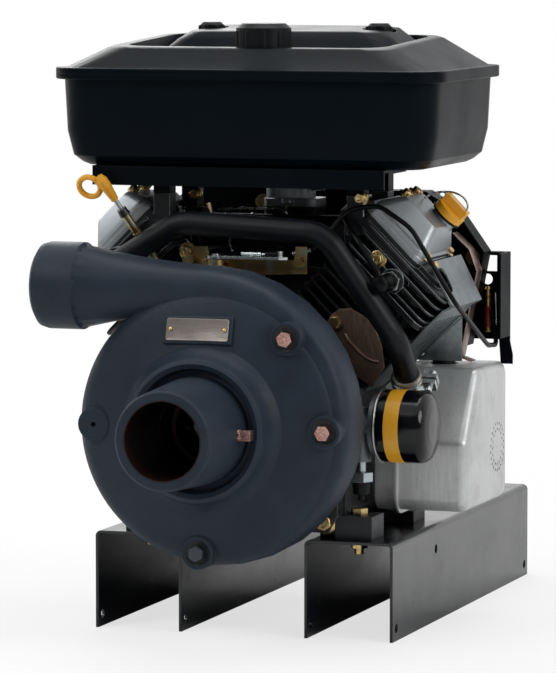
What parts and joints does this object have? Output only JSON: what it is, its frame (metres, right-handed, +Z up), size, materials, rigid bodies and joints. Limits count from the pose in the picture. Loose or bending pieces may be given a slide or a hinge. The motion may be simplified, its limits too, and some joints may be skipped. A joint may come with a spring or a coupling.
{
  "type": "small gasoline engine",
  "caption": "Air-cooled V-twin gasoline engine with a close-coupled cast-iron centrifugal pump, a fuel tank on top and a side muffler, standing on steel channel skid rails.",
  "frame": {"origin": "middle of the plan box, on the floor plane under the rails", "axes": "+X to the muffler side, +Y from the pump's suction to the blower, +Z up"},
  "size_m": [0.427, 0.751, 0.6286],
  "materials": {
    "black_paint": "satin black paint on steel",
    "tank_plastic": "moulded black plastic, satin",
    "pump_iron": "slate blue paint on cast iron",
    "impeller_iron": "bare cast iron, brown",
    "copper_bolts": "copper-coloured plated steel",
    "zinc_bolts": "zinc-plated steel",
    "bright_steel": "machined steel",
    "cast_aluminium": "bare cast aluminium",
    "black_fins": "black heat-resistant paint on cast aluminium",
    "cover_aluminium": "die-cast aluminium, satin",
    "zinc_sheet": "yellow-passivated zinc on steel sheet",
    "lever_steel": "bright zinc-plated steel",
    "pipe_steel": "black heat-resistant paint on steel tube",
    "muffler_steel": "aluminised steel",
    "brown_sheet": "heat-browned steel sheet",
    "grey_sheet": "grey paint on steel sheet",
    "yellow_plastic": "yellow plastic",
    "black_plastic": "black plastic",
    "filter_paint": "gloss black paint",
    "ceramic": "white ceramic and carbon",
    "filter_paper": "pleated paper",
    "cable_sheath": "black sheath"
  },
  "bodies": {
    "engine": {"rail_left": "black_paint", "rail_right": "black_paint", "foot_bolts": "zinc_bolts", "pump_volute": "pump_iron", "pump_bracket": "pump_iron", "pump_bolts": "copper_bolts", "suction_plug": "copper_bolts", "seal_seat": "ceramic", "crankcase": "cast_aluminium", "rear_cover": "cast_aluminium", "main_bearings": "bright_steel", "cylinder_left": "black_fins", "cylinder_right": "black_fins", "head_left": "black_fins", "head_right": "black_fins", "valve_cover_left": "cover_aluminium", "valve_cover_right": "cover_aluminium", "spark_plugs": "bright_steel", "intake_manifold": "black_fins", "carburetor": "cast_aluminium", "control_bracket": "zinc_sheet", "tank_support": "black_paint", "fuel_tank_lower": "tank_plastic", "fuel_tank_upper": "tank_plastic", "air_cleaner_base": "black_plastic", "air_filter": "filter_paper", "air_cleaner_cover": "tank_plastic", "crossover_pipe": "pipe_steel", "exhaust_stub": "pipe_steel", "muffler": "muffler_steel", "pipe_clamp": "lever_steel", "oil_filter": "filter_paint", "filter_adapter": "cast_aluminium", "oil_switch": "black_plastic", "dipstick_tube": "zinc_sheet", "blower_housing": "black_paint", "cylinder_shroud": "grey_sheet", "heat_baffle": "brown_sheet", "switch_bracket": "black_paint", "throttle_cable": "cable_sheath"},
    "crank": {"crankshaft": "bright_steel", "crank_gear": "bright_steel", "flywheel": "cast_aluminium", "debris_screen": "black_plastic", "impeller": "impeller_iron", "impeller_nut": "bright_steel", "seal_head": "ceramic"},
    "cam": {"camshaft": "bright_steel", "cam_gear": "bright_steel"},
    "piston_left": {"piston_left": "cast_aluminium"},
    "piston_right": {"piston_right": "cast_aluminium"},
    "throttle": {"throttle_lever": "lever_steel"},
    "choke": {"choke_lever": "lever_steel"},
    "fuel_cap": {"fuel_cap": "black_plastic"},
    "oil_cap": {"oil_cap": "yellow_plastic"},
    "knob_left": {"knob_left": "black_plastic"},
    "knob_right": {"knob_right": "black_plastic"},
    "dipstick": {"dipstick": "yellow_plastic"}
  },
  "joints": [
    {"name": "crank_spin", "type": "hinge", "parent": "engine", "child": "crank", "pos_m": [0, 0, 0.2275], "axis": [0, 1, 0], "continuous": true},
    {"name": "cam_spin", "type": "hinge", "parent": "engine", "child": "cam", "pos_m": [0, 0, 0.3025], "axis": [0, 1, 0], "continuous": true},
    {"name": "piston_left_slide", "type": "slide", "parent": "engine", "child": "piston_left", "axis": [-0.7071, 0, 0.7071], "range_m": [-0.057, 0.0129]},
    {"name": "piston_right_slide", "type": "slide", "parent": "engine", "child": "piston_right", "axis": [0.7071, 0, 0.7071], "range_m": [-0.057, 0.0129]},
    {"name": "throttle_turn", "type": "hinge", "parent": "engine", "child": "throttle", "pos_m": [-0.032, -0.1265, 0.3895], "axis": [0, 0, 1], "range_deg": [-25, 8]},
    {"name": "choke_turn", "type": "hinge", "parent": "engine", "child": "choke", "pos_m": [0.034, 0.035, 0.45929], "axis": [1, 0, 0], "range_deg": [-70, 0]},
    {"name": "fuel_cap_turn", "type": "hinge", "parent": "engine", "child": "fuel_cap", "pos_m": [0, -0.0675, 0.61212], "axis": [0, 0, 1], "range_deg": [0, 120]},
    {"name": "oil_cap_turn", "type": "hinge", "parent": "engine", "child": "oil_cap", "pos_m": [0.17466, -0.0005, 0.4262], "axis": [0.7071, 0, 0.7071], "range_deg": [0, 90]},
    {"name": "knob_left_turn", "type": "hinge", "parent": "engine", "child": "knob_left", "pos_m": [-0.093, 0.035, 0.61412], "axis": [0, 0, 1], "range_deg": [0, 180]},
    {"name": "knob_right_turn", "type": "hinge", "parent": "engine", "child": "knob_right", "pos_m": [0.093, 0.035, 0.61412], "axis": [0, 0, 1], "range_deg": [0, 180]},
    {"name": "dipstick_pull", "type": "slide", "parent": "engine", "child": "dipstick", "axis": [-0.4098, -0.4168, 0.8114], "range_m": [0, 0.14]}
  ],
  "couplings": [
    {"joint": "cam_spin", "follows": "crank_spin", "ratio": -0.5}
  ]
}
